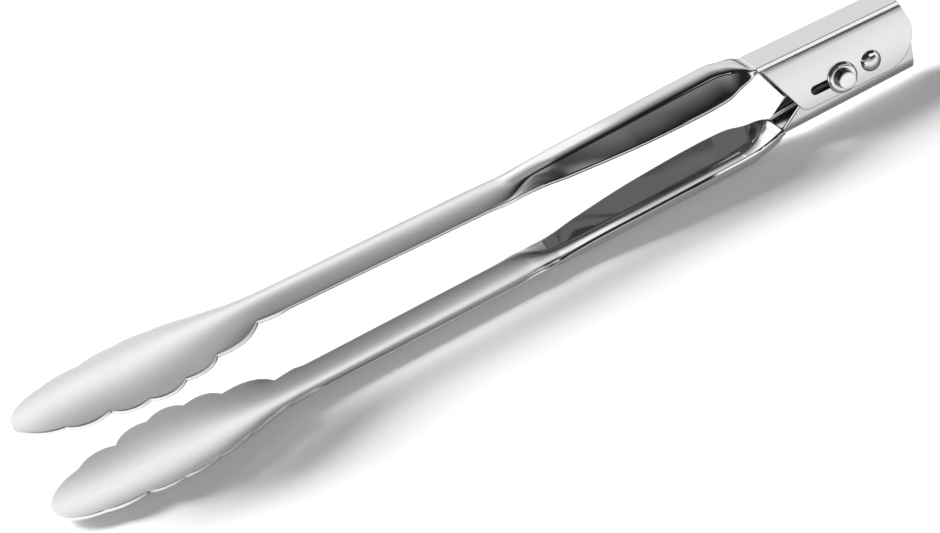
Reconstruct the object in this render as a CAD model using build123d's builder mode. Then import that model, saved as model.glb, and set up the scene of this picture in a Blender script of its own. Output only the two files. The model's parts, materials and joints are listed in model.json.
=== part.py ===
from build123d import *
import os
from math import asin, atan, atan2, ceil, cos, degrees, hypot, radians, sin

# Spring loaded kitchen tongs: two stamped steel arms on one rivet, pushed apart by a torsion
# spring and held together by a sliding lock pin. +X runs to the hinge end, +Z from the lower
# arm to the upper one, and the lower arm lies on its back on the plane z = 0.

# Driving dimensions in millimetres and degrees
sheet = 1.4                     # steel sheet of both arms
reach = 288.5                   # rivet to scoop tip
rest_angle = 1.8                # upper arm open from the level line at rest
closed_turn = 5.5               # arm travel from rest to closed tips
open_turn = 15.0                # arm travel from rest to fully open

back_height = 15.4              # rivet to the back of the lower arm, which lies on the floor
shaft_half_width = 10.2
shaft_rim = 11.5                # rivet to the rim of the shaft
shaft_crown = 14.6
grip_half_width = 13.8
grip_depth = 7.2                # crown to rim in the middle of the grip
grip_panel = 9.5                # flat side panel of the grip, across the arm
grip_start = 118.0              # rivet to the front end of the grip
grip_tilt = 3.7                 # the upper grip stands this much further out at its neck
upper_neck = 36.0               # rivet to the neck, where the upper grip meets its hinge plate
lower_neck = 34.0

upper_half_width = 7.95         # outer channel
upper_plate = 14.0              # rivet to the outer face of the upper hinge plate
lower_plate = 9.6               # rivet to the outer face of the lower hinge plate
plate_edge_radius = 0.5         # outside radius between a hinge plate and its bevel
cheek_top = 1.6                 # hinge plate to the upper end of a cheek's front edge
neck_inset = 0.45               # the neck is this much narrower than the channel on each side
# Bevel between a hinge plate and a cheek: how far the plate's edge and the cheek's shoulder lie inside
# the cheek, the drop from the plate to the shoulder, and the further drop to the flat of the cheek
upper_bevel = (1.15, 0.46, 0.98, 2.16)
lower_bevel = (0.75, 0.15, 1.6, 1.6)
cheek_gap = 0.15                # between an outer and an inner cheek
cheek_front = 34.5              # rivet to the front edge of an outer cheek at the plate
cheek_toe = 25.6                # rivet to the lower front corner of an outer cheek
cheek_drop = 6.0                # rivet to the lower edge of an outer cheek
toe_radius = 3.5
heel_radius = 12.0              # rounded rear of an outer cheek
heel_centre = 4.4               # rivet to the middle of that round
upper_plate_rear = 14.6         # rivet to the rear end of the upper hinge plate
lower_plate_rear = 13.4
inner_rear = 15.4               # rivet to the rear of an inner cheek
inner_rise = 8.3                # rivet to the upper edge of an inner cheek
inner_front = 24.5              # rivet to the front of an inner cheek
inner_corner = 4.0
inner_step = 2.3                # the slanted front of an inner cheek ends this far below the rivet
inner_toe = 33.5                # rivet to the front of an inner cheek at the plate

rivet_diameter = 4.0
rivet_head_diameter = 6.6
rivet_head_height = 1.9
rivet_fit = 0.02                # radial, in the outer cheeks and the sleeve
rivet_clearance = 0.05          # radial, in the inner cheeks
sleeve_wall = 1.1
sleeve_end_gap = 0.15

pin_diameter = 3.0
pin_back = 10.5                 # rivet to the lock pin at rest
pin_drop = 0.85                 # lock slot below the rivet
pin_travel = 9.6
slot_clearance = 0.1            # radial, in the slots of the outer cheeks
window_clearance = 0.3          # radial, in the windows of the inner cheeks
washer_diameter = 9.2
washer_thickness = 0.5
washer_clearance = 0.05
flange_diameter = 8.2
flange_thickness = 0.8
knob_diameter = 5.3
knob_height = 3.0
knob_edge = 0.5
pin_in_knob = 2.2
pin_bore_fit = 0.02             # radial, of the pin in its buttons

wire_diameter = 1.5
coil_gap = 0.5                  # between neighbouring turns
coil_half_turns = 7
coil_sleeve_gap = 0.5           # between the sleeve and the coil
leg_length = 34.5
leg_seat_gap = 0.1              # between a spring leg and its hinge plate
least_gap_allowed = 0.4

section_pitch = 4.0             # spacing of the cross sections along an arm

# Scoop sections: distance from the tip, half width before trimming, rim, crown and flat side panel
scoop_sections = [
    (-4.0, 20.0, 9.0, 11.3, 17.0),
    (4.5, 22.0, 9.5, 12.3, 18.6),
    (13.5, 23.5, 9.9, 13.1, 19.9),
    (27.0, 26.5, 9.7, 13.6, 22.7),
    (39.0, 29.0, 9.3, 13.8, 25.1),
    (51.0, 28.0, 9.1, 14.1, 23.9),
    (62.5, 23.5, 8.9, 14.4, 18.4),
    (70.5, 18.5, 9.2, 14.5, 12.5),
    (78.5, 13.5, 10.1, 14.5, 6.3),
]
scoop_end = 90.5                # tip to the start of the plain shaft
shaft_panel = 0.8               # flat strip beside the rims of the shaft

# Grip sections from its front end: distance, how much narrower than the grip, how much its rim and
# crown lie nearer to the other arm or the rivet, and the share of the panel
grip_front_sections = [(5.0, 4.0, 2.6, 0.2, 0.55), (15.0, 3.0, 1.6, 0.0, 0.9), (38.0, 0.8, 0.5, 0.0, 1.0)]
# Grip sections from the neck, in the same way
grip_rear_sections = [(21.0, 0.0, 0.0, 0.0, 1.0), (13.0, 0.6, 0.0, 0.1, 0.9), (7.0, 3.2, 0.4, 1.5, 0.55)]
grip_run_in = 6.0               # shaft to the first change of the grip
neck_run = 3.0                  # last slope of the grip down to the hinge plate
neck_flare = 1.2                # the start of that slope is this much wider than the channel on each side
neck_rim_share, neck_crown_share = 0.4, 0.35   # how far rim and crown still follow the grip there
neck_lip = 1.0                  # crown to rim at the neck
neck_panel = 0.6

# Scoop outline: distance from the tip and half width of each notch between two lobes
scoop_notches = [(13.3, 17.4), (27.0, 20.1), (38.9, 23.7), (51.2, 22.1), (63.0, 17.4), (78.9, 10.0)]
lobe_bulge = 2.6
trim_margin = 12.0

# Worked out sizes
cheek_inside = upper_half_width - sheet
lower_half_width = cheek_inside - cheek_gap
inner_inside = lower_half_width - sheet
rivet_radius = rivet_diameter / 2
pin_radius = pin_diameter / 2
wire_radius = wire_diameter / 2
sleeve_radius = rivet_radius + rivet_fit + sleeve_wall
tip = -reach
box_rear = hypot(heel_centre, heel_radius - cheek_drop)
box_rear_angle = radians(rest_angle) - atan2(heel_radius - cheek_drop, heel_centre)
rear_reach = box_rear * cos(box_rear_angle) + heel_radius
rivet_x = (reach - rear_reach) / 2
rivet_centre = Vector(rivet_x, 0, back_height)

# The frames of the two arms, with z away from the other arm, and two planes through the rivet
turn = radians(rest_angle)
upper_frame = Plane(rivet_centre, x_dir=(cos(turn), 0, -sin(turn)), z_dir=(sin(turn), 0, cos(turn)))
lower_frame = Plane(rivet_centre, x_dir=(1, 0, 0), z_dir=(0, 0, -1))
rivet_plane = Plane(rivet_centre, x_dir=(1, 0, 0), z_dir=(0, -1, 0))
rivet_profile_plane = Plane(rivet_centre, x_dir=(0, 1, 0), z_dir=(1, 0, 0))
rivet_axis = Axis(rivet_centre, (0, 1, 0))


def across(frame, x):
    """The plane across an arm at x: its own x is the frame's y, its own y the frame's z."""
    return Plane(frame.from_local_coords(Vector(x, 0, 0)), x_dir=frame.y_dir, z_dir=frame.x_dir)


def beside(frame):
    """The middle plane of an arm, seen from the side: its own y is the frame's z."""
    return Plane(frame.origin, x_dir=frame.x_dir, z_dir=-frame.y_dir)


def arm_stations(channel_half_width, plate, neck, tilt):
    """Rows of x, half width, rim, crown and panel from the tip to the neck of an arm."""
    rows = [(tip + place, *sizes) for place, *sizes in scoop_sections]
    for place in (tip + scoop_end, -grip_start - grip_run_in):
        rows.append((place, shaft_half_width, shaft_rim, shaft_crown, shaft_panel))
    grip = [(-grip_start + ahead, *sizes) for ahead, *sizes in grip_front_sections]
    grip += [(-neck - ahead, *sizes) for ahead, *sizes in grip_rear_sections]
    for place, narrower, rim_in, crown_in, panel_share in grip:
        crown = back_height + tilt * (place + grip_start) / (grip_start - neck)
        rim = crown - grip_depth + rim_in
        rows.append((place, grip_half_width - narrower, rim, crown - crown_in, grip_panel * panel_share))
    end_rim = plate - neck_lip
    slope_rim = end_rim + neck_rim_share * (rim - end_rim)
    slope_crown = plate + neck_crown_share * (crown - plate)
    rows.append((-neck - neck_run, channel_half_width + neck_flare, slope_rim, slope_crown, neck_panel))
    rows.append((-neck, channel_half_width - neck_inset, end_rim, plate, neck_panel))
    return rows


def slope_at(stations, column, i):
    """Slope of one column at station i, level at the ends and at turning points."""
    if i in (0, len(stations) - 1):
        return 0
    before, here, after = stations[i - 1], stations[i], stations[i + 1]
    slope_in = (here[column] - before[column]) / (here[0] - before[0])
    slope_out = (after[column] - here[column]) / (after[0] - here[0])
    if slope_in * slope_out <= 0:
        return 0
    return 2 * slope_in * slope_out / (slope_in + slope_out)


def along_stations(stations, x):
    """Half width, rim, crown and panel at x, on monotone curves through the stations."""
    places = [row[0] for row in stations]
    here = max(i for i, place in enumerate(places[:-1]) if place <= x or i == 0)
    span = places[here + 1] - places[here]
    share = (x - places[here]) / span
    values = []
    for column in range(1, 5):
        start, end = stations[here][column], stations[here + 1][column]
        rise_in = slope_at(stations, column, here) * span
        rise_out = slope_at(stations, column, here + 1) * span
        ease = share * share * (3 - 2 * share)
        hold_in = share * (1 - share) ** 2
        hold_out = share * share * (share - 1)
        values.append(start + (end - start) * ease + rise_in * hold_in + rise_out * hold_out)
    return values


def arm_shell(frame, stations):
    """The stamped scoop, shaft and grip of one arm, with the scalloped outline of its scoop."""
    first = stations[0][0]
    count = ceil((stations[-1][0] - first) / section_pitch)
    pitch = (stations[-1][0] - first) / count
    with BuildPart() as shell:
        for index in range(count + 1):
            half, rim, crown, panel = along_stations(stations, first + pitch * index)
            depth = crown - rim
            slope = 2 * atan(depth / (half + panel))
            ridge = (half * sin(slope) - depth * cos(slope)) / (1 - cos(slope))
            knee = (ridge * sin(slope), crown - ridge * (1 - cos(slope)))
            hollow = ridge - sheet
            inner_knee = (hollow * sin(slope), crown - sheet - hollow * (1 - cos(slope)))
            under = (half - sheet * sin(slope), rim - sheet * cos(slope))
            with BuildSketch(across(frame, first + pitch * index)):
                with BuildLine():
                    Polyline((-under[0], under[1]), (-half, rim), (-knee[0], knee[1]))
                    ThreePointArc((-knee[0], knee[1]), (0, crown), knee)
                    Polyline(knee, (half, rim), under, inner_knee)
                    ThreePointArc(inner_knee, (0, crown - sheet), (-inner_knee[0], inner_knee[1]))
                    Line((-inner_knee[0], inner_knee[1]), (-under[0], under[1]))
                make_face()
        loft()
        with BuildSketch(frame):
            widest = max(half for _, half in scoop_notches) + trim_margin
            with Locations((tip + (scoop_end - trim_margin) / 2, 0)):
                Rectangle(scoop_end + trim_margin, 2 * widest)
            with BuildLine():
                near, far = scoop_notches[0], scoop_notches[-1]
                ThreePointArc((tip + near[0], -near[1]), (tip, 0), (tip + near[0], near[1]))
                for side in (-1, 1):
                    for (place, half), (next_place, next_half) in zip(scoop_notches, scoop_notches[1:]):
                        chord = Vector(next_place - place, next_half - half).normalized()
                        middle_x = tip + (place + next_place) / 2 - chord.Y * lobe_bulge
                        middle_y = (half + next_half) / 2 + chord.X * lobe_bulge
                        ThreePointArc(
                            (tip + place, side * half),
                            (middle_x, side * middle_y),
                            (tip + next_place, side * next_half),
                        )
                    Line((tip + far[0], side * far[1]), (tip + scoop_end, side * shaft_half_width))
                Line((tip + scoop_end, -shaft_half_width), (tip + scoop_end, shaft_half_width))
            make_face(mode=Mode.SUBTRACT)
        extrude(amount=2 * back_height, mode=Mode.SUBTRACT)
    return shell.part


def channel_bar(frame, half_width, plate, lip, neck, bevel):
    """A plain bar of hinge channel from the neck to past the rear, before its sides are cut."""
    plate_in, shoulder_in, shoulder_drop, cheek_drop_on = bevel
    plate_edge = half_width - plate_in
    shoulder = half_width - shoulder_in
    flat_top = plate - shoulder_drop - cheek_drop_on
    with BuildPart() as bar:
        with BuildSketch(across(frame, -neck)) as section:
            with BuildLine():
                Line((-half_width, -lip), (half_width, -lip))
                Line((-plate_edge, plate), (plate_edge, plate))
                for side in (-1, 1):
                    Line((side * half_width, -lip), (side * half_width, flat_top))
                    TangentArc(
                        (side * half_width, flat_top), (side * shoulder, plate - shoulder_drop), tangent=(0, 1)
                    )
                    Line((side * shoulder, plate - shoulder_drop), (side * plate_edge, plate))
            make_face()
            fillet(section.vertices().group_by(Axis.Y)[-1], plate_edge_radius)
            with Locations((0, (plate - lip) / 2 - sheet)):
                Rectangle(2 * (half_width - sheet), plate + lip, mode=Mode.SUBTRACT)
        extrude(amount=neck + heel_centre + heel_radius + sheet)
    return bar.part


def pin_place(turned, slid):
    """The lock pin in the rivet's plane, with the arm turned and the pin slid from rest."""
    angle = radians(rest_angle + turned)
    ahead = pin_back + slid
    return (-ahead * cos(angle) - pin_drop * sin(angle), ahead * sin(angle) - pin_drop * cos(angle))


# Upper arm
with BuildPart() as upper_channel:
    add(channel_bar(upper_frame, upper_half_width, upper_plate, cheek_drop, upper_neck, upper_bevel))
    with BuildSketch(beside(upper_frame)) as upper_side:
        eave = upper_plate - cheek_top
        rear = heel_centre + heel_radius
        heel_height = heel_radius - cheek_drop
        eighth = radians(45)
        heel_mid = (heel_centre + heel_radius * sin(eighth), heel_height - heel_radius * cos(eighth))
        with BuildLine():
            Polyline((-upper_neck, upper_plate), (-upper_neck, eave), (-cheek_front, eave))
            Polyline((-cheek_front, eave), (-cheek_toe, -cheek_drop), (heel_centre, -cheek_drop))
            ThreePointArc((heel_centre, -cheek_drop), heel_mid, (rear, heel_height))
            Polyline((rear, heel_height), (upper_plate_rear, upper_plate), (-upper_neck, upper_plate))
        make_face()
        fillet(upper_side.vertices().sort_by_distance((-cheek_toe, -cheek_drop))[0], toe_radius)
    extrude(amount=upper_half_width, both=True, mode=Mode.INTERSECT)

with BuildPart() as upper_arm:
    add(arm_shell(upper_frame, arm_stations(upper_half_width, upper_plate, upper_neck, grip_tilt)))
    add(upper_channel.part)
    with BuildSketch(beside(upper_frame)):
        Circle(rivet_radius + rivet_fit)
        with Locations((-pin_back - pin_travel / 2, -pin_drop)):
            SlotCenterToCenter(pin_travel, pin_diameter + 2 * slot_clearance)
    extrude(amount=upper_half_width, both=True, mode=Mode.SUBTRACT)

# Lower arm, whose inner cheeks have a window that the lock pin moves in
with BuildPart() as lower_channel:
    add(channel_bar(lower_frame, lower_half_width, lower_plate, inner_rise, lower_neck, lower_bevel))
    with BuildSketch(beside(lower_frame)) as lower_side:
        eave = lower_plate - cheek_top
        with BuildLine():
            Polyline((-lower_neck, lower_plate), (-lower_neck, eave), (-inner_toe, eave))
            Polyline((-inner_toe, eave), (-inner_front, inner_step), (-inner_front, -inner_rise))
            Polyline((-inner_front, -inner_rise), (inner_rear, -inner_rise), (inner_rear, 0))
            Polyline((inner_rear, 0), (lower_plate_rear, lower_plate), (-lower_neck, lower_plate))
        make_face()
        fillet(lower_side.vertices().group_by(Axis.Y)[0], inner_corner)
    extrude(amount=lower_half_width, both=True, mode=Mode.INTERSECT)

with BuildPart() as lower_arm:
    add(arm_shell(lower_frame, arm_stations(lower_half_width, lower_plate, lower_neck, 0)))
    add(lower_channel.part)
    window_radius = pin_radius + window_clearance
    swing_radius = hypot(pin_back, pin_drop)
    swing_start = degrees(atan2(*reversed(pin_place(open_turn, 0))))
    with BuildSketch(rivet_plane):
        with BuildLine():
            near_arc = CenterArc((0, 0), swing_radius - window_radius, swing_start, open_turn + closed_turn)
            far_arc = CenterArc((0, 0), swing_radius + window_radius, swing_start, open_turn + closed_turn)
            Line(near_arc @ 0, far_arc @ 0)
            Line(near_arc @ 1, far_arc @ 1)
        make_face()
    extrude(amount=lower_half_width, both=True, mode=Mode.SUBTRACT)
    with BuildSketch(rivet_plane):
        corners = [pin_place(turned, slid) for turned in (-closed_turn, 0) for slid in (0, pin_travel)]
        with Locations(*corners):
            Circle(window_radius)
        make_hull()
    extrude(amount=lower_half_width, both=True, mode=Mode.SUBTRACT)
    with BuildSketch(rivet_plane):
        with Locations(pin_place(open_turn, 0), pin_place(open_turn, pin_travel)):
            Circle(window_radius)
        make_hull()
    extrude(amount=lower_half_width, both=True, mode=Mode.SUBTRACT)
    with BuildSketch(rivet_plane):
        Circle(rivet_radius + rivet_clearance)
    extrude(amount=lower_half_width, both=True, mode=Mode.SUBTRACT)

# Hinge rivet with two domed heads
with BuildPart() as hinge_rivet:
    head_radius = rivet_head_diameter / 2
    dome_radius = (head_radius**2 + rivet_head_height**2) / (2 * rivet_head_height)
    dome_angle = asin(head_radius / dome_radius) / 2
    dome_top = upper_half_width + rivet_head_height
    dome_mid = (dome_top - dome_radius * (1 - cos(dome_angle)), dome_radius * sin(dome_angle))
    with BuildSketch(rivet_profile_plane):
        with BuildLine():
            ThreePointArc((-dome_top, 0), (-dome_mid[0], dome_mid[1]), (-upper_half_width, head_radius))
            Polyline(
                (-upper_half_width, head_radius),
                (-upper_half_width, rivet_radius),
                (upper_half_width, rivet_radius),
                (upper_half_width, head_radius),
            )
            ThreePointArc((upper_half_width, head_radius), dome_mid, (dome_top, 0))
            Line((dome_top, 0), (-dome_top, 0))
        make_face()
    revolve(axis=rivet_axis)

# Sleeve on the rivet, which keeps the inner cheeks apart and carries the coil
with BuildPart() as pivot_sleeve:
    sleeve_half = inner_inside - sleeve_end_gap
    with BuildSketch(rivet_plane):
        Circle(sleeve_radius)
        Circle(rivet_radius + rivet_fit, mode=Mode.SUBTRACT)
    extrude(amount=sleeve_half, both=True)

# Torsion spring: a coil on the sleeve with a leg under each hinge plate, the lower one on the far side
coil_radius = sleeve_radius + coil_sleeve_gap + wire_radius
coil_pitch = wire_diameter + coil_gap


def leg_angle(plate):
    """Angle of a leg that leaves the coil on a tangent and ends under a hinge plate."""
    seat = plate - sheet - leg_seat_gap - wire_radius
    return asin(seat / hypot(coil_radius, leg_length)) - atan2(coil_radius, leg_length)


def coil_point(angle, along):
    """A point of the coil's middle line, at an angle from the hinge end and a place along the rivet."""
    return rivet_centre + Vector(coil_radius * cos(angle), along, coil_radius * sin(angle))


lower_leg = leg_angle(lower_plate)
upper_leg = leg_angle(upper_plate) + radians(rest_angle)
coil_start = radians(-90) + lower_leg
coil_turn = radians(180 * coil_half_turns) - lower_leg - upper_leg
coil_steps = 2 * coil_half_turns
coil_length = coil_pitch * coil_turn / radians(360)
coil_lead = coil_pitch / radians(360) / coil_radius
coil_nodes = []
for step in range(coil_steps + 1):
    angle = coil_start + coil_turn * step / coil_steps
    along = coil_length * (0.5 - step / coil_steps)
    lead = 0 if step in (0, coil_steps) else -coil_lead
    coil_nodes.append((coil_point(angle, along), Vector(-sin(angle), lead, cos(angle)).normalized()))

with BuildPart() as torsion_spring:
    with BuildLine() as spring_line:
        entry, entry_way = coil_nodes[0]
        Line(entry - entry_way * leg_length, entry)
        for (start, start_way), (end, end_way) in zip(coil_nodes, coil_nodes[1:]):
            reach_over = end - start
            both_ways = start_way + end_way
            lean = reach_over.dot(both_ways)
            bend = 2 * (1 - start_way.dot(end_way))
            handle = ((lean**2 + bend * reach_over.dot(reach_over)) ** 0.5 - lean) / bend
            joint = (start + end + (start_way - end_way) * handle) / 2
            first_arc = TangentArc(start, joint, tangent=start_way)
            TangentArc(joint, end, tangent=first_arc % 1)
        leave, leave_way = coil_nodes[-1]
        Line(leave, leave + leave_way * leg_length)
    spring_wire = spring_line.wire()
    with BuildSketch(Plane(spring_wire @ 0, z_dir=spring_wire % 0)):
        Circle(wire_radius)
    sweep()

# Lock pin across both arms, with a washer and a button on each end
upper_lock_frame = Plane(
    upper_frame.from_local_coords(Vector(-pin_back, 0, -pin_drop)), x_dir=(0, 1, 0), z_dir=upper_frame.x_dir
)
lock_axis = Axis(upper_lock_frame.origin, (0, 1, 0))
washer_face = upper_half_width + washer_clearance
flange_face = washer_face + washer_thickness
pin_end = flange_face + pin_in_knob
with BuildPart() as lock_pin:
    with BuildSketch(upper_lock_frame):
        with BuildLine():
            Polyline((-pin_end, 0), (-pin_end, pin_radius), (pin_end, pin_radius), (pin_end, 0), close=True)
        make_face()
    revolve(axis=lock_axis)


def lock_washer(side):
    """A flat washer on the pin, on the side of the given sign."""
    with BuildPart() as washer:
        with BuildSketch(upper_lock_frame):
            bore = pin_radius + pin_bore_fit
            with Locations((side * (washer_face + washer_thickness / 2), (washer_diameter / 2 + bore) / 2)):
                Rectangle(washer_thickness, washer_diameter / 2 - bore)
        revolve(axis=lock_axis)
    return washer.part


def lock_button(side):
    """A button with a flange and a round knob, pressed on the pin's end."""
    bore = pin_radius + pin_bore_fit
    knob_top = flange_face + flange_thickness + knob_height
    with BuildPart() as button:
        with BuildSketch(upper_lock_frame):
            with BuildLine():
                Polyline(
                    (side * pin_end, 0),
                    (side * pin_end, bore),
                    (side * flange_face, bore),
                    (side * flange_face, flange_diameter / 2),
                    (side * (flange_face + flange_thickness), flange_diameter / 2),
                    (side * (flange_face + flange_thickness), knob_diameter / 2),
                    (side * (knob_top - knob_edge), knob_diameter / 2),
                    (side * knob_top, knob_diameter / 2 - knob_edge),
                    (side * knob_top, 0),
                    close=True,
                )
            make_face()
        revolve(axis=lock_axis)
    return button.part


with BuildPart() as slide_washer_left:
    add(lock_washer(-1))
with BuildPart() as slide_washer_right:
    add(lock_washer(1))
with BuildPart() as lock_button_left:
    add(lock_button(-1))
with BuildPart() as lock_button_right:
    add(lock_button(1))

# The spring's least gap to itself, on points along its middle line
line_length = spring_wire.length
point_count = ceil(line_length)
line_points = [spring_wire @ (i / point_count) for i in range(point_count + 1)]
near_run = ceil(coil_radius * radians(180))
least_gap = min(
    (line_points[i] - line_points[j]).length - wire_diameter
    for i in range(point_count + 1)
    for j in range(i + near_run, point_count + 1)
)
print(f"spring wire length {line_length:.1f} mm, least gap to itself {least_gap:.2f} mm")
print("spring gap is wide enough" if least_gap > least_gap_allowed else "spring gap is too narrow")

# One STEP file for each piece
pieces = {
    "upper_arm": upper_arm,
    "lower_arm": lower_arm,
    "hinge_rivet": hinge_rivet,
    "pivot_sleeve": pivot_sleeve,
    "torsion_spring": torsion_spring,
    "lock_pin": lock_pin,
    "slide_washer_left": slide_washer_left,
    "slide_washer_right": slide_washer_right,
    "lock_button_left": lock_button_left,
    "lock_button_right": lock_button_right,
}
os.makedirs("parts", exist_ok=True)
for name, piece in pieces.items():
    piece.part.label = name
    export_step(piece.part, f"parts/{name}.step")
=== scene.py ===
import json
from math import atan, atan2, cos, pi, radians, sin, sqrt

import bmesh
import bpy
import numpy as np
from mathutils import Matrix, Vector


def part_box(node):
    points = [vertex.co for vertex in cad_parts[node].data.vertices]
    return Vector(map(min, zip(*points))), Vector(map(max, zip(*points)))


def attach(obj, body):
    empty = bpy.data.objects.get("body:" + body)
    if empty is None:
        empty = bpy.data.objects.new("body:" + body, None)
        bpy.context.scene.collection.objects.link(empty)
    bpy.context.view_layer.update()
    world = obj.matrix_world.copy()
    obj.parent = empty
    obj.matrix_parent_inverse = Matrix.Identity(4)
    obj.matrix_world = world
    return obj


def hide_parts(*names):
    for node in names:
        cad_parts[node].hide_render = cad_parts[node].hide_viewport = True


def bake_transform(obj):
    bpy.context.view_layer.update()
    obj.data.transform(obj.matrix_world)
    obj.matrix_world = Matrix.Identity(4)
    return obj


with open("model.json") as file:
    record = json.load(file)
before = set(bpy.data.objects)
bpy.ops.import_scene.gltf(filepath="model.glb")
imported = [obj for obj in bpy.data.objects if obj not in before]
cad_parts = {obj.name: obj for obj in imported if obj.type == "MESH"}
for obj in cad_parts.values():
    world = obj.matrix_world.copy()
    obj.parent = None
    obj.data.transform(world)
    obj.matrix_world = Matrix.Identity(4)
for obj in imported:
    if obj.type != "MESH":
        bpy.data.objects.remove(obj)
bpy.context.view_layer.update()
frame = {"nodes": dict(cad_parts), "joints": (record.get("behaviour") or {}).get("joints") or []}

# Spring loaded kitchen tongs. Sizes are in millimetres, in the frame of one arm: x runs from the
# rivet to the hinge end, y across the arm, z away from the other arm. Meshes are in metres.
MM = 0.001
hinge = next(joint for joint in frame["joints"] if joint["name"] == "arm_hinge")
rivet = Vector(hinge["pos_m"])

# The arms
sheet = 1.4
reach = 288.5
rest_angle = 1.8
back_height = 15.4
shaft_half_width, shaft_rim, shaft_crown, shaft_panel = 10.2, 11.5, 14.6, 0.8
grip_half_width, grip_depth, grip_panel = 13.8, 7.2, 9.5
grip_start, grip_tilt = 118.0, 3.7
grip_run_in = 6.0
neck_run, neck_lip, neck_panel = 3.0, 1.6, 0.6
neck_flare = 1.2                # the start of the neck is this much wider on each side
neck_rim_share, neck_crown_share = 0.6, 0.65    # how far rim and crown have come down by there
scoop_end = 90.5

# Distance from the tip, half width before trimming, rim, crown and flat side panel
scoop_sections = [
    (-4.0, 20.0, 9.0, 11.3, 0.5),
    (4.5, 22.0, 9.5, 12.3, 0.5),
    (13.5, 23.5, 9.9, 13.1, 3.0),
    (27.0, 26.5, 9.7, 13.6, 6.0),
    (39.0, 29.0, 9.3, 13.8, 8.0),
    (51.0, 28.0, 9.1, 14.1, 8.0),
    (62.5, 23.5, 8.9, 14.4, 6.0),
    (70.5, 18.5, 9.2, 14.5, 4.0),
    (78.5, 13.5, 10.1, 14.5, 2.5),
]
# Distance from the grip's end, how much narrower, rim and crown lower, share of the panel
grip_front_sections = [(5.0, 4.0, 2.6, 0.2, 0.55), (15.0, 3.0, 1.6, 0.0, 0.9), (38.0, 0.8, 0.5, 0.0, 1.0)]
grip_rear_sections = [(21.0, 0.0, 0.0, 0.0, 1.0), (13.0, 0.6, 0.0, 0.1, 0.9), (7.0, 3.2, 0.4, 1.5, 0.55)]
# Distance from the tip and half width of each notch between two lobes, and how far each lobe bulges
scoop_notches = [(13.3, 17.4), (27.0, 20.1), (38.9, 23.7), (51.2, 22.1), (63.0, 17.4), (78.9, 10.0)]
lobe_bulges = [2.3, 2.3, 2.45, 2.0, 1.7]
first_notch, first_half = scoop_notches[0]
tip_radius = (first_notch**2 + first_half**2) / (2 * first_notch)

# The raised ridge along a grip, with a flat wing on each side of it beyond a crease
ridge_half_width = 5.5
ridge_slope_front, ridge_slope_rear = radians(46), radians(57)   # slope of the ridge's flanks at the crease
ridge_top_slope = radians(10)   # slope where the broad top of the ridge turns into its shoulder
ridge_top_radius = 17.0
ridge_front = (-133.0, -115.0)  # where the end of the shaft turns into the ridge
leaf_front = (-128.0, -108.0)   # where the crease comes in from the rim to the ridge
# Bulge of each arm's wings at the front and the rear of the grip, as a share of their width
wing_bulges = {"upper": (0.0, 0.05), "lower": (0.012, 0.012)}

# The neck, where the ridge turns into the bevelled edge of the hinge plate
neck_length = 9.0
neck_slope, neck_top_slope = radians(60), radians(1.5)
neck_top_inset, neck_crease_inset, neck_edge_inset = 1.35, 0.5, 0.25

# Rounded edges of the sheet, and of the hinge plates outside their holes
edge_round = 0.42
edge_points = 6
plate_edge_round = 0.4
plate_edge_segments = 4
square_edge = radians(75)       # a plate's edge with at least this angle is rounded
flat_edge = radians(0.5)
short_edge = 0.08
hole_reach = 3.0                # the rivet's hole lies within this
slot_from, slot_to, slot_reach = -23.6, -6.0, 5.2   # the box of the lock's slot and window

# Fineness of the arms
section_columns = 20            # points on each side of a knee in a cross section
curve_points = 240              # points on each curve that these are taken from
knee_limit, edge_limit = 0.6, 0.4   # shares of a section that keep its columns apart
least_step = 0.01
tip_angles = range(3, 75, 4)    # degrees round the tip's arc
lobe_rows = 22                  # cross sections along a lobe, closest together at its ends
shaft_pitch, grip_pitch = 2.0, 0.6
same_place = 1e-6
smooth_limit = radians(32)      # edges with a larger angle stay sharp

# Each arm's half width at the neck, plate height, distance from rivet to neck, and tilt of the grip
arms = {
    "upper": (7.95, 14.0, 36.0, grip_tilt),
    "lower": (7.9, 9.6, 34.0, 0.0),
}
arm_frames = {
    "upper": Matrix.Translation(rivet) @ Matrix.Rotation(radians(rest_angle), 4, "Y"),
    "lower": Matrix.Translation(rivet) @ Matrix.Rotation(pi, 4, "X"),
}


def ease(low, high, value):
    """0 below low, 1 above high, and a smooth rise between them."""
    share = np.clip((value - low) / (high - low), 0, 1)
    return share * share * (3 - 2 * share)


def arm_stations(neck_half_width, plate, neck, tilt):
    """Rows of x, half width, rim, crown and panel from the tip to the neck of an arm."""
    rows = [(place - reach, *sizes) for place, *sizes in scoop_sections]
    for place in (scoop_end - reach, -grip_start - grip_run_in):
        rows.append((place, shaft_half_width, shaft_rim, shaft_crown, shaft_panel))
    grip = [(-grip_start + ahead, *sizes) for ahead, *sizes in grip_front_sections]
    grip += [(-neck - ahead, *sizes) for ahead, *sizes in grip_rear_sections]
    for place, narrower, rim_in, crown_in, panel_share in grip:
        crown = back_height + tilt * (place + grip_start) / (grip_start - neck)
        rim = crown - grip_depth + rim_in
        rows.append((place, grip_half_width - narrower, rim, crown - crown_in, grip_panel * panel_share))
    edge = plate - neck_lip
    neck_rim = (1 - neck_rim_share) * rim + neck_rim_share * edge
    neck_crown = (1 - neck_crown_share) * crown + neck_crown_share * plate
    rows.append((-neck - neck_run, neck_half_width + neck_flare, neck_rim, neck_crown, neck_panel))
    rows.append((-neck, neck_half_width - neck_edge_inset, edge, plate, neck_panel))
    return np.array(rows)


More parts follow.
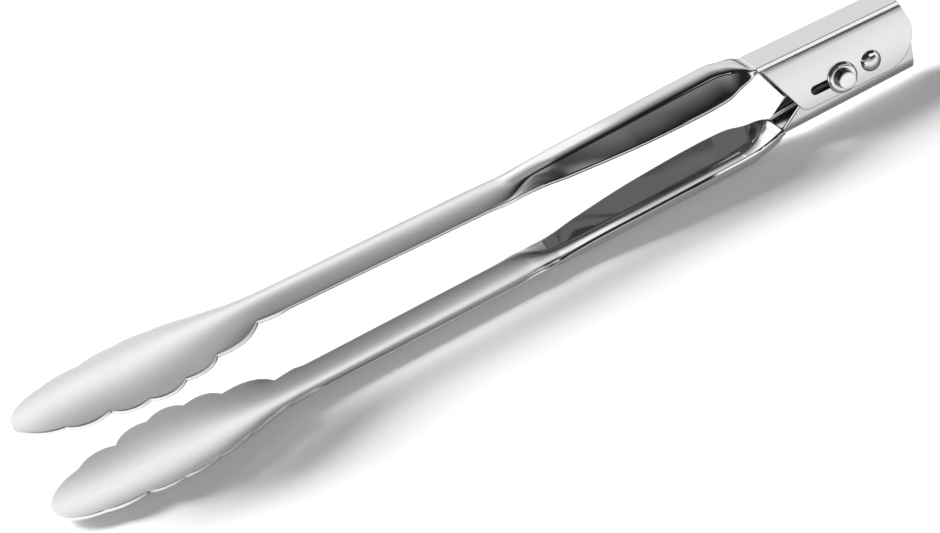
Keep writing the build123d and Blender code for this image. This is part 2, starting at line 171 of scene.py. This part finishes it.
def along_stations(stations, x):
    """Half width, rim, crown and panel at x, on monotone curves through the stations."""
    places = stations[:, 0]
    here = min(max(int(np.searchsorted(places, x, side="right")) - 1, 0), len(places) - 2)
    span = places[here + 1] - places[here]
    share = (x - places[here]) / span

    def slope_at(i):
        if i in (0, len(places) - 1):
            return np.zeros(4)
        slope_in = (stations[i, 1:] - stations[i - 1, 1:]) / (places[i] - places[i - 1])
        slope_out = (stations[i + 1, 1:] - stations[i, 1:]) / (places[i + 1] - places[i])
        turning = slope_in * slope_out <= 0
        total = np.where(turning, 1, slope_in + slope_out)
        return np.where(turning, 0, 2 * slope_in * slope_out / total)

    start, end = stations[here, 1:], stations[here + 1, 1:]
    held = share * share * (3 - 2 * share)
    bent = slope_at(here) * share * (1 - share) ** 2 + slope_at(here + 1) * share * share * (share - 1)
    return start + (end - start) * held + bent * span


def scoop_outline(x):
    """Half width of the scalloped outline at x, or None behind the scoop."""
    place = x + reach
    if place < first_notch:
        return sqrt(max(tip_radius**2 - (tip_radius - place) ** 2, 0))
    for (low, low_half), (high, high_half), bulge in zip(scoop_notches, scoop_notches[1:], lobe_bulges):
        if place <= high:
            run, rise = high - low, high_half - low_half
            chord = sqrt(run**2 + rise**2)
            radius = (chord**2 / 4 + bulge**2) / (2 * bulge)
            back = radius - bulge
            centre = (low + high) / 2 + back * rise / chord
            height = (low_half + high_half) / 2 - back * run / chord
            return height + sqrt(radius**2 - (place - centre) ** 2)
    last_place, last_half = scoop_notches[-1]
    if place < scoop_end:
        return last_half + (shaft_half_width - last_half) * (place - last_place) / (scoop_end - last_place)
    return None


def half_section(stations, neck, x, bulge_share):
    """One half of the sheet at x as two lines of y and z, outside and inside, and the knee of each."""
    half, rim, crown, panel = along_stations(stations, x)
    depth = crown - rim
    slope = 2 * atan(depth / (half + panel))
    radius = (half * sin(slope) - depth * cos(slope)) / (1 - cos(slope))
    knee = radius * sin(slope)
    share = ease(*ridge_front, x)
    flank = ridge_slope_front + (ridge_slope_rear - ridge_slope_front) * ease(-grip_start, -neck, x)
    slope += (flank - slope) * share
    knee += (ridge_half_width - knee) * ease(*leaf_front, x)
    top_slope = min(ridge_top_slope, slope / 2)
    top_half = (radius + (ridge_top_radius - radius) * share) * sin(top_slope)
    into_neck = ease(-neck - neck_length, -neck, x)
    neck_half = stations[-1, 1] + neck_edge_inset
    slope += (neck_slope - slope) * into_neck
    top_slope += (neck_top_slope - top_slope) * into_neck
    knee += (neck_half - neck_crease_inset - knee) * into_neck
    top_half += (neck_half - neck_top_inset - top_half) * into_neck
    top_radius = top_half / sin(top_slope)
    shoulder = (knee - top_half) / (sin(slope) - sin(top_slope))
    top_turn = np.linspace(0, top_slope, curve_points, endpoint=False)
    turn = np.concatenate([top_turn, np.linspace(top_slope, slope, 2 * curve_points)])
    bend = np.maximum(turn, top_slope)
    flat = np.minimum(turn, top_slope)
    ridge_y = top_radius * np.sin(flat) + shoulder * (np.sin(bend) - sin(top_slope))
    ridge_z = crown - top_radius * (1 - np.cos(flat)) - shoulder * (cos(top_slope) - np.cos(bend))
    ridge = np.stack([ridge_y, ridge_z], 1)
    along = np.linspace(0, 1, curve_points)
    wing_y = knee + (half - knee) * along
    bulge = (half - knee) * bulge_share * share * (1 - into_neck)
    wing_z = ridge_z[-1] + (rim - ridge_z[-1]) * along + 4 * bulge * along * (1 - along)
    fall = -np.gradient(wing_z, wing_y)
    length = np.sqrt(1 + fall**2)
    inner_ridge = ridge - sheet * np.stack([np.sin(turn), np.cos(turn)], 1)
    inner_wing = np.stack([wing_y - sheet * fall / length, wing_z - sheet / length], 1)
    inner_wing = inner_wing[inner_wing[:, 0] > inner_ridge[-1, 0] + least_step]
    outside = np.concatenate([ridge[:-1], np.stack([wing_y, wing_z], 1)])
    inside = np.concatenate([inner_ridge, inner_wing])
    return outside, knee, inside, inner_ridge[-1, 0]


def spread(line, knee, end):
    """Points along a line of y and z up to y = end, half of them on each side of its knee, and its corner."""
    travel = np.concatenate([[0], np.cumsum(np.hypot(*np.diff(line, axis=0).T))])
    last = np.interp(end, line[:, 0], travel)
    middle = min(np.interp(knee, line[:, 0], travel), knee_limit * last)
    finish = max(last - 2 * edge_round, middle + edge_limit * (last - middle))
    before_knee = np.linspace(0, middle, section_columns, endpoint=False)
    stops = np.concatenate([before_knee, np.linspace(middle, finish, section_columns)])
    points = np.stack([np.interp(stops, travel, line[:, 0]), np.interp(stops, travel, line[:, 1])], 1)
    return points, np.array([end, np.interp(end, line[:, 0], line[:, 1])])


def rounded(corner, before, after):
    """Points that round a corner between two neighbours."""
    ahead = (before - corner) / np.linalg.norm(before - corner) * edge_round
    behind = (after - corner) / np.linalg.norm(after - corner) * edge_round
    turns = np.linspace(0, pi / 2, edge_points)
    return [corner + ahead * (1 - sin(turn)) + behind * (1 - cos(turn)) for turn in turns]


def section_loop(stations, neck, x, bulge_share):
    """The closed outline of the sheet at x, as points of y and z, with both edges rounded."""
    outside, knee, inside, inner_knee = half_section(stations, neck, x, bulge_share)
    outline = scoop_outline(x)
    outer_end = outside[-1, 0] if outline is None else min(outside[-1, 0], outline)
    inner_end = inside[-1, 0] if outline is None else min(inside[-1, 0], outline)
    outer, outer_corner = spread(outside, knee, outer_end)
    inner, inner_corner = spread(inside, inner_knee, inner_end)
    edge = rounded(outer_corner, outer[-1], inner_corner) + rounded(inner_corner, outer_corner, inner[-1])
    right = [*outer, *edge, *inner[::-1]]
    left = [(-py, pz) for py, pz in right[::-1]]
    return right[1:-1] + [tuple(inner[0])] + left[1:-1] + [tuple(outer[0])]


def row_places(neck):
    """Places of the cross sections: close together at the tip, on the scoop and on the grip."""
    steps = [tip_radius * (1 - cos(radians(angle))) - reach for angle in tip_angles]
    notches = [place - reach for place, half in scoop_notches]
    for low, high in zip(notches, [*notches[1:], scoop_end - reach]):
        steps += [low + (high - low) * (1 - cos(pi * i / lobe_rows)) / 2 for i in range(lobe_rows)]
    shaft = (scoop_end - reach, ridge_front[0], shaft_pitch)
    grip = (ridge_front[0], -neck, grip_pitch)
    for start, end, pitch in (shaft, grip):
        count = round((end - start) / pitch)
        steps += [start + (end - start) * i / count for i in range(count)]
    return steps + [-neck]


def arm_sheet(name):
    """The stamped sheet of an arm, from the scoop to the neck."""
    neck = arms[name][2]
    stations = arm_stations(*arms[name])
    place = arm_frames[name]
    bulge_front, bulge_rear = wing_bulges[name]
    work = bmesh.new()
    loops = []
    for x in row_places(neck):
        bulge_share = bulge_front + (bulge_rear - bulge_front) * ease(-grip_start, -neck, x)
        points = section_loop(stations, neck, x, bulge_share)
        loops.append([work.verts.new(place @ Vector((x * MM, y * MM, z * MM))) for y, z in points])
    size = len(loops[0])
    for first, second in zip(loops, loops[1:]):
        for i in range(size):
            after = (i + 1) % size
            work.faces.new((first[i], first[after], second[after], second[i]))
    work.faces.new(loops[0][::-1])
    work.faces.new(loops[-1])
    return work


def hinge_plate(name):
    """The arm's plate and cheeks, cut from the frame's own solid behind the neck, with rounded edges."""
    neck = arms[name][2]
    place = arm_frames[name]
    work = bmesh.new()
    work.from_mesh(frame["nodes"][f"{name}_arm"].data)
    bmesh.ops.remove_doubles(work, verts=work.verts, dist=same_place)
    bmesh.ops.bisect_plane(
        work,
        geom=work.verts[:] + work.edges[:] + work.faces[:],
        plane_co=place @ Vector((-neck * MM, 0, 0)),
        plane_no=place.to_3x3() @ Vector((1, 0, 0)),
        clear_inner=True,
    )
    bmesh.ops.dissolve_limit(work, angle_limit=flat_edge, verts=work.verts, edges=work.edges)
    bmesh.ops.remove_doubles(work, verts=work.verts, dist=short_edge * MM)
    to_arm = place.inverted()
    rims = []
    for edge in work.edges:
        if len(edge.link_faces) != 2 or edge.calc_face_angle() < square_edge:
            continue
        spot = to_arm @ ((edge.verts[0].co + edge.verts[1].co) / 2) / MM
        in_hole = sqrt(spot.x * spot.x + spot.z * spot.z) < hole_reach
        in_slot = slot_from < spot.x < slot_to and abs(spot.z) < slot_reach
        if not in_hole and not in_slot:
            rims.append(edge)
    bmesh.ops.bevel(
        work,
        geom=rims,
        offset=plate_edge_round * MM,
        segments=plate_edge_segments,
        profile=0.5,
        affect="EDGES",
    )
    ends = [edge for edge in work.edges if len(edge.link_faces) == 1]
    bmesh.ops.holes_fill(work, edges=ends)
    return work


def make_piece(name, work, body, replaced, material):
    """A smooth piece that rides on a body and stands for a node of the frame."""
    bmesh.ops.recalc_face_normals(work, faces=work.faces)
    mesh = bpy.data.meshes.new(name)
    work.to_mesh(mesh)
    work.free()
    mesh.polygons.foreach_set("use_smooth", [True] * len(mesh.polygons))
    mesh.set_sharp_from_angle(angle=smooth_limit)
    piece = bpy.data.objects.new(name, mesh)
    bpy.context.scene.collection.objects.link(piece)
    piece.data.materials.append(material)
    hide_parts(replaced)
    if body:
        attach(piece, body)
    return piece


# Materials
bump_share, bump_depth = 0.01, 0.02 * MM
arm_grain, fine_grain = (40, 1500, 1500), (900, 900, 900)
grain_share = 0.2
# Distance from the rivet where a finer finish of the arms begins and where it is full, and its roughness
finish_steps = [(126, 116, 0.05), (42, 34, 0.2)]


def steel_material(name, colour, roughness, grain_scale):
    """Bare steel with fine grain along x, which varies the gloss and the surface a little."""
    material = bpy.data.materials.new(name)
    material.use_nodes = True
    nodes, links = material.node_tree.nodes, material.node_tree.links
    shader = nodes["Principled BSDF"]
    shader.inputs["Base Color"].default_value = (*colour, 1)
    shader.inputs["Metallic"].default_value = 1
    place = nodes.new("ShaderNodeTexCoord")
    stretch = nodes.new("ShaderNodeMapping")
    stretch.inputs["Scale"].default_value = grain_scale
    noise = nodes.new("ShaderNodeTexNoise")
    noise.inputs["Scale"].default_value = 1
    noise.inputs["Detail"].default_value = 2
    links.new(place.outputs["Object"], stretch.inputs["Vector"])
    links.new(stretch.outputs["Vector"], noise.inputs["Vector"])
    gloss = nodes.new("ShaderNodeMapRange")
    gloss.inputs["To Min"].default_value = roughness * (1 - grain_share)
    gloss.inputs["To Max"].default_value = roughness * (1 + grain_share)
    links.new(noise.outputs["Fac"], gloss.inputs["Value"])
    links.new(gloss.outputs["Result"], shader.inputs["Roughness"])
    bump = nodes.new("ShaderNodeBump")
    bump.inputs["Strength"].default_value = grain_share * bump_share
    bump.inputs["Distance"].default_value = bump_depth
    links.new(noise.outputs["Fac"], bump.inputs["Height"])
    links.new(bump.outputs["Normal"], shader.inputs["Normal"])
    return material


def arm_material():
    """Satin scoops and shafts, with mirror polished grips and softer polished hinge plates."""
    material = steel_material("arm_steel", (0.8, 0.8, 0.79), 0.3, arm_grain)
    nodes, links = material.node_tree.nodes, material.node_tree.links
    shader = nodes["Principled BSDF"]
    place = nodes.new("ShaderNodeTexCoord")
    split = nodes.new("ShaderNodeSeparateXYZ")
    links.new(place.outputs["Object"], split.inputs["Vector"])
    value = shader.inputs["Roughness"].links[0].from_socket
    for start, end, roughness in finish_steps:
        share = nodes.new("ShaderNodeMapRange")
        share.interpolation_type = "SMOOTHSTEP"
        share.inputs["From Min"].default_value = rivet.x - start * MM
        share.inputs["From Max"].default_value = rivet.x - end * MM
        links.new(split.outputs["X"], share.inputs["Value"])
        mix = nodes.new("ShaderNodeMix")
        links.new(share.outputs["Result"], mix.inputs["Factor"])
        links.new(value, mix.inputs["A"])
        mix.inputs["B"].default_value = roughness
        value = mix.outputs["Result"]
    links.new(value, shader.inputs["Roughness"])
    return material


arm_steel = arm_material()
polished_steel = steel_material("polished_steel", (0.82, 0.82, 0.81), 0.1, fine_grain)
wire_steel = steel_material("spring_steel", (0.72, 0.72, 0.71), 0.16, fine_grain)

# Arms
flat_face_weight = 80
for arm in arms:
    make_piece(f"{arm}_arm_sheet", arm_sheet(arm), arm, f"{arm}_arm", arm_steel)
    plate = make_piece(f"{arm}_hinge_plate", hinge_plate(arm), arm, f"{arm}_arm", arm_steel)
    normals = plate.modifiers.new("normals", "WEIGHTED_NORMAL")
    normals.keep_sharp = True
    normals.weight = flat_face_weight

# The spring keeps its solid's shape and sits between the two arms
work = bmesh.new()
work.from_mesh(frame["nodes"]["torsion_spring"].data)
bmesh.ops.remove_doubles(work, verts=work.verts, dist=same_place)
spring = make_piece("spring_wire", work, None, "torsion_spring", wire_steel)
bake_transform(spring)

# Turned parts, as rows of distance from the middle plane and radius
washer_profile = [
    (8.0, 1.55), (8.0, 5.05), (8.03, 5.1), (8.1, 5.08), (8.42, 4.76), (8.5, 4.68), (8.5, 1.55),
]
button_profile = [
    (8.5, 1.55), (8.5, 4.48), (8.56, 4.58), (8.75, 4.6), (8.95, 4.53), (9.12, 4.36), (9.24, 4.13),
    (9.3, 3.88), (9.3, 3.2), (9.26, 3.09), (9.2, 3.03), (9.2, 2.93), (9.28, 2.88), (9.4, 2.87),
    (11.85, 2.87), (11.97, 2.86), (12.1, 2.83), (12.21, 2.75), (12.27, 2.65), (12.29, 2.53),
    (12.3, 1.2), (12.3, 0.0),
]
rivet_radius, rivet_head_radius, rivet_head_height = 2.0, 3.45, 1.9
cheek_face = 7.95               # middle plane to the outside of an outer cheek
dome_rings = 14
turned_segments = 72


def rivet_profile():
    """Half of the rivet, with a domed head on the cheek."""
    dome_radius = (rivet_head_radius**2 + rivet_head_height**2) / (2 * rivet_head_height)
    dome_half_angle = atan2(rivet_head_radius, dome_radius - rivet_head_height)
    profile = [(0.0, rivet_radius), (cheek_face, rivet_radius)]
    for step in range(dome_rings):
        angle = dome_half_angle * (1 - step / dome_rings)
        along = cheek_face + rivet_head_height - dome_radius * (1 - cos(angle))
        profile.append((along, dome_radius * sin(angle)))
    return profile + [(cheek_face + rivet_head_height, 0.0)]


def turned(profile, middle, side):
    """A solid of revolution on an axis along y through a middle point, on one side of the tongs."""
    work = bmesh.new()
    rings = []
    for along, radius in profile:
        ring = []
        for i in range(turned_segments if radius > 0 else 1):
            angle = 2 * pi * i / turned_segments
            spot = Vector((radius * cos(angle) * MM, side * along * MM, radius * sin(angle) * MM))
            ring.append(work.verts.new(middle + spot))
        rings.append(ring)
    for low, high in zip(rings, rings[1:]):
        for i in range(turned_segments):
            after = (i + 1) % turned_segments
            corners = [low[i], low[after % len(low)], high[after % len(high)], high[i % len(high)]]
            work.faces.new(list(dict.fromkeys(corners)))
    if len(rings[-1]) > 1:
        for i in range(turned_segments):
            after = (i + 1) % turned_segments
            work.faces.new((rings[-1][i], rings[-1][after], rings[0][after], rings[0][i]))
    else:
        work.faces.new(rings[0])
    return work


pin_low, pin_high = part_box("lock_pin")
pin_middle = (Vector(pin_low) + Vector(pin_high)) / 2
for side_name, side in (("left", -1), ("right", 1)):
    washer, button = f"slide_washer_{side_name}", f"lock_button_{side_name}"
    work = turned(washer_profile, pin_middle, side)
    make_piece(f"{washer}_turned", work, "lock", washer, polished_steel)
    work = turned(button_profile, pin_middle, side)
    make_piece(f"{button}_turned", work, "lock", button, polished_steel)
    work = turned(rivet_profile(), rivet, side)
    make_piece(f"hinge_rivet_{side_name}", work, "upper", "hinge_rivet", polished_steel)

# The pin and the sleeve keep their solids and get a polished finish
for piece in frame["nodes"].values():
    if piece.hide_render:
        continue
    piece.data.materials.clear()
    piece.data.materials.append(polished_steel)
    piece.data.polygons.foreach_set("use_smooth", [True] * len(piece.data.polygons))
    piece.data.set_sharp_from_angle(angle=smooth_limit)

# Stage. Reflections of reflections are painted darker than what is seen in one mirror: painted shade inside
# the hinge and between the arms.
floor_colour, floor_roughness, floor_glow = 0.8, 0.9, 0.16
deep_floor, deep_card, deep_world = 0.18, 0.1, 0.06
second_mirror = (1.4, 1.6)      # number of mirrors on the way, from which a reflection counts as deep
floor_card_lift = 0.3 * MM
fill_level = 0.2


def by_depth(nodes, links, first, later):
    """A value for what is seen directly or in one mirror, and another for reflections of reflections."""
    path = nodes.new("ShaderNodeLightPath")
    level = nodes.new("ShaderNodeMapRange")
    level.inputs["From Min"].default_value = second_mirror[0]
    level.inputs["From Max"].default_value = second_mirror[1]
    level.inputs["To Min"].default_value = first
    level.inputs["To Max"].default_value = later
    links.new(path.outputs["Glossy Depth"], level.inputs["Value"])
    return level.outputs["Result"]


def add_path(nodes, links, strength):
    """A value that is strength for camera, glossy and transmission rays and 0 for others."""
    path = nodes.new("ShaderNodeLightPath")
    total = path.outputs["Is Camera Ray"]
    for kind in ("Is Glossy Ray", "Is Transmission Ray"):
        plus = nodes.new("ShaderNodeMath")
        plus.operation = "MAXIMUM"
        links.new(total, plus.inputs[0])
        links.new(path.outputs[kind], plus.inputs[1])
        total = plus.outputs[0]
    times = nodes.new("ShaderNodeMath")
    times.operation = "MULTIPLY"
    times.inputs[1].default_value = strength
    links.new(total, times.inputs[0])
    return times.outputs[0]


def floor_material():
    """A pale floor that also glows a little to the camera, and is painted dark in reflections of reflections,
    as painted shade.
    """
    material = bpy.data.materials.new("floor")
    material.use_nodes = True
    nodes, links = material.node_tree.nodes, material.node_tree.links
    shader = nodes["Principled BSDF"]
    shader.inputs["Base Color"].default_value = (floor_colour, floor_colour, floor_colour, 1)
    shader.inputs["Roughness"].default_value = floor_roughness
    shader.inputs["Specular IOR Level"].default_value = 0.0
    shader.inputs["Emission Color"].default_value = (1, 1, 1, 1)
    links.new(add_path(nodes, links, floor_glow), shader.inputs["Emission Strength"])
    dark = nodes.new("ShaderNodeEmission")
    dark.inputs["Strength"].default_value = deep_floor
    mix = nodes.new("ShaderNodeMixShader")
    links.new(by_depth(nodes, links, 0, 1), mix.inputs["Fac"])
    links.new(shader.outputs[0], mix.inputs[1])
    links.new(dark.outputs[0], mix.inputs[2])
    links.new(mix.outputs[0], nodes["Material Output"].inputs["Surface"])
    return material


def grey_ramp(nodes, stops):
    """A ramp of grey levels, by stops of share and level."""
    ramp = nodes.new("ShaderNodeValToRGB")
    elements = ramp.color_ramp.elements
    for position, (share, level) in enumerate(stops):
        stop = elements[position] if position < 2 else elements.new(share)
        stop.position = share
        stop.color = (level, level, level, 1)
    return ramp


def graded_card(name, axis, stops):
    """A card that shows in reflections a painted level which changes along an axis, by stops of place and
    level, and is painted darker in reflections of reflections.
    """
    material = bpy.data.materials.new(name)
    material.use_nodes = True
    nodes, links = material.node_tree.nodes, material.node_tree.links
    nodes.remove(nodes["Principled BSDF"])
    glow = nodes.new("ShaderNodeEmission")
    place = nodes.new("ShaderNodeNewGeometry")
    split = nodes.new("ShaderNodeSeparateXYZ")
    share = nodes.new("ShaderNodeMapRange")
    first, last = stops[0][0], stops[-1][0]
    share.inputs["From Min"].default_value = first
    share.inputs["From Max"].default_value = last
    ramp = grey_ramp(nodes, [((where - first) / (last - first), level) for where, level in stops])
    links.new(place.outputs["Position"], split.inputs["Vector"])
    links.new(split.outputs[axis], share.inputs["Value"])
    links.new(share.outputs["Result"], ramp.inputs["Fac"])
    links.new(ramp.outputs["Color"], glow.inputs["Color"])
    links.new(by_depth(nodes, links, 1, deep_floor), glow.inputs["Strength"])
    links.new(glow.outputs[0], nodes["Material Output"].inputs["Surface"])
    return material


def add_plane(name, size, place, material, shown=True):
    """A level stage piece."""
    work = bmesh.new()
    bmesh.ops.create_grid(work, x_segments=1, y_segments=1, size=0.5)
    mesh = bpy.data.meshes.new(name)
    work.to_mesh(mesh)
    work.free()
    plane = bpy.data.objects.new(name, mesh)
    bpy.context.scene.collection.objects.link(plane)
    plane.data.materials.append(material)
    plane.scale = (*size, 1)
    plane.location = place
    plane.visible_camera = shown
    return plane


add_plane("floor", (8, 8), (0, 0, 0), floor_material())
# Two cards on the floor, behind the tongs and before the hinge, which only reflections show. They paint
# reflections: the far card paints a darker far floor
# # into the grips and the hinge than into the scoops, and the near card paints bands of highlight and shade
# into the hinge's cheeks,
# # darkest next to the tongs as a painted contact shadow.
far_levels = [(0.0, 0.85), (0.03, 0.3)]
near_levels = [
    (-0.085, 0.65), (-0.066, 0.95), (-0.05, 1.1), (-0.034, 0.95), (-0.029, 0.6), (-0.0265, 0.95),
    (-0.023, 0.75), (-0.0175, 0.36), (-0.008, 0.2),
]
floor_cards = [
    ("far_card", (5, 1.2), (0, 0.66, floor_card_lift), "X", far_levels),
    ("near_card", (0.3, 0.5), (0.24, -0.258, floor_card_lift), "Y", near_levels),
]
for name, size, place, axis, levels in floor_cards:
    floor_card = add_plane(name, size, place, graded_card(name, axis, levels), False)
    floor_card.visible_diffuse = False
    floor_card.visible_shadow = False

world = bpy.data.worlds.new("studio")
bpy.context.scene.world = world
world.use_nodes = True
nodes, links = world.node_tree.nodes, world.node_tree.links
background = nodes["Background"]
background.inputs["Color"].default_value = (1, 1, 1, 1)
fill = nodes.new("ShaderNodeMath")
fill.operation = "MAXIMUM"
fill.inputs[1].default_value = fill_level
links.new(add_path(nodes, links, 1.0), fill.inputs[0])
# The world is painted dark in reflections of reflections, as painted shade between the arms.
dim = nodes.new("ShaderNodeMath")
dim.operation = "MINIMUM"
links.new(fill.outputs[0], dim.inputs[0])
links.new(by_depth(nodes, links, 1, deep_world), dim.inputs[1])
links.new(dim.outputs[0], background.inputs["Strength"])

# One soft lamp, which points at the middle of the tongs and throws the shadow
lamp_size, lamp_power = 1.8, 240
lamp_place = Vector((-2.0, 2.0, 2.0))
lamp_data = bpy.data.lights.new("key", "AREA")
lamp_data.shape = "RECTANGLE"
lamp_data.size = lamp_size
lamp_data.size_y = lamp_size
lamp_data.energy = lamp_power
lamp = bpy.data.objects.new("key", lamp_data)
bpy.context.scene.collection.objects.link(lamp)
lamp.location = lamp_place
lamp.rotation_euler = (-lamp_place).to_track_quat("-Z", "Y").to_euler()
lamp.visible_glossy = False

# A curved card over the tongs, out of the camera's sight, which paints reflections into the steel: its
# # bands are painted highlights, painted dark lines and painted shade. Its stops are degrees round from the
# far
# # horizon over the top to the near one, and the brightness of the card as a whole, of the part that the
# # grips reflect and of the part that the hinge reflects.
card_radius, card_half_length, card_step = 1.3, 2.5, 2
card_stops = [
    (2, 0.62, 0.8, 0.7),
    (12, 0.75, 0.9, 0.8),
    (18, 1.2, 1.15, 0.85),
    (27, 1.4, 1.15, 0.85),
    (36, 0.9, 1.15, 0.8),
    (44, 0.54, 1.1, 0.6),
    (52, 0.4, 0.85, 0.44),
    (62, 0.35, 0.58, 0.36),
    (74, 0.36, 0.36, 0.26),
    (84, 0.38, 0.24, 0.16),
    (92, 0.38, 0.13, 0.08),
    (99, 0.33, 0.03, 0.02),
    (103, 0.03, 0.02, 0.02),
    (122, 0.03, 0.015, 0.015),
    (127, 0.03, 0.02, 1.2),
    (146, 0.05, 0.02, 1.2),
    (149, 0.12, 0.02, 0.02),
    (157, 0.38, 0.03, 0.05),
    (170, 0.42, 0.05, 0.1),
    (180, 0.5, 0.45, 0.45),
]
# Where along x the part of painted reflections for the grips begins, then that for the hinge
card_zones = [(0.215, 0.24), (0.305, 0.325)]
mix_factor, mix_first, mix_second, mix_colour = 0, 6, 7, 2   # a colour mix's sockets


def card_material():
    """A card of painted reflections, whose brightness changes round the length of the tongs, with a part each
    for grips and hinge, and which is painted dark in reflections of reflections.
    """
    material = bpy.data.materials.new("painted_reflection_card")
    material.use_nodes = True
    nodes, links = material.node_tree.nodes, material.node_tree.links
    nodes.remove(nodes["Principled BSDF"])
    place = nodes.new("ShaderNodeTexCoord")
    split = nodes.new("ShaderNodeSeparateXYZ")
    angle = nodes.new("ShaderNodeMath")
    angle.operation = "ARCTAN2"
    share = nodes.new("ShaderNodeMath")
    share.operation = "DIVIDE"
    share.inputs[1].default_value = pi
    glow = nodes.new("ShaderNodeEmission")
    links.new(place.outputs["Object"], split.inputs["Vector"])
    links.new(split.outputs["Z"], angle.inputs[0])
    links.new(split.outputs["Y"], angle.inputs[1])
    links.new(angle.outputs[0], share.inputs[0])
    colours = []
    for part in range(len(card_zones) + 1):
        ramp = grey_ramp(nodes, [(degrees / 180, levels[part]) for degrees, *levels in card_stops])
        links.new(share.outputs[0], ramp.inputs["Fac"])
        colours.append(ramp.outputs["Color"])
    colour = colours[0]
    for (start, end), part_colour in zip(card_zones, colours[1:]):
        zone = nodes.new("ShaderNodeMapRange")
        zone.interpolation_type = "SMOOTHSTEP"
        zone.inputs["From Min"].default_value = start
        zone.inputs["From Max"].default_value = end
        links.new(split.outputs["X"], zone.inputs["Value"])
        mix = nodes.new("ShaderNodeMix")
        mix.data_type = "RGBA"
        links.new(zone.outputs["Result"], mix.inputs[mix_factor])
        links.new(colour, mix.inputs[mix_first])
        links.new(part_colour, mix.inputs[mix_second])
        colour = mix.outputs[mix_colour]
    links.new(colour, glow.inputs["Color"])
    links.new(by_depth(nodes, links, 1, deep_card), glow.inputs["Strength"])
    links.new(glow.outputs["Emission"], nodes["Material Output"].inputs["Surface"])
    return material


def add_card():
    """The curved card, as a strip of flat faces round the length of the tongs."""
    work = bmesh.new()
    rows = []
    for degrees in range(card_stops[0][0], card_stops[-1][0] + 1, card_step):
        y, z = card_radius * cos(radians(degrees)), card_radius * sin(radians(degrees))
        rows.append([work.verts.new((x, y, z)) for x in (-card_half_length, card_half_length)])
    for low, high in zip(rows, rows[1:]):
        work.faces.new((*low, *high[::-1]))
    mesh = bpy.data.meshes.new("painted_reflection_card")
    work.to_mesh(mesh)
    work.free()
    card = bpy.data.objects.new("painted_reflection_card", mesh)
    bpy.context.scene.collection.objects.link(card)
    card.data.materials.append(card_material())
    card.visible_camera = False
    card.visible_diffuse = False
    card.visible_shadow = False


add_card()

# Camera, at the photograph's angle
camera_aim = Vector((-5.1, 0.0, 12.73)) * MM
camera_distance = 1.14692
camera_azimuth, camera_elevation, camera_roll = radians(-10.3236), radians(24.3577), radians(-23.2542)
camera_lens = 142.67
camera_data = bpy.data.cameras.new("camera")
camera_data.lens = camera_lens
camera_data.clip_end = 20
camera = bpy.data.objects.new("camera", camera_data)
bpy.context.scene.collection.objects.link(camera)
away = cos(camera_elevation)
back = Vector((sin(camera_azimuth) * away, -cos(camera_azimuth) * away, sin(camera_elevation)))
camera.location = camera_aim + back * camera_distance
turn = (-back).to_track_quat("-Z", "Y").to_matrix().to_4x4() @ Matrix.Rotation(camera_roll, 4, "Z")
camera.rotation_euler = turn.to_euler()
bpy.context.scene.camera = camera
bpy.context.scene.view_settings.view_transform = "Standard"
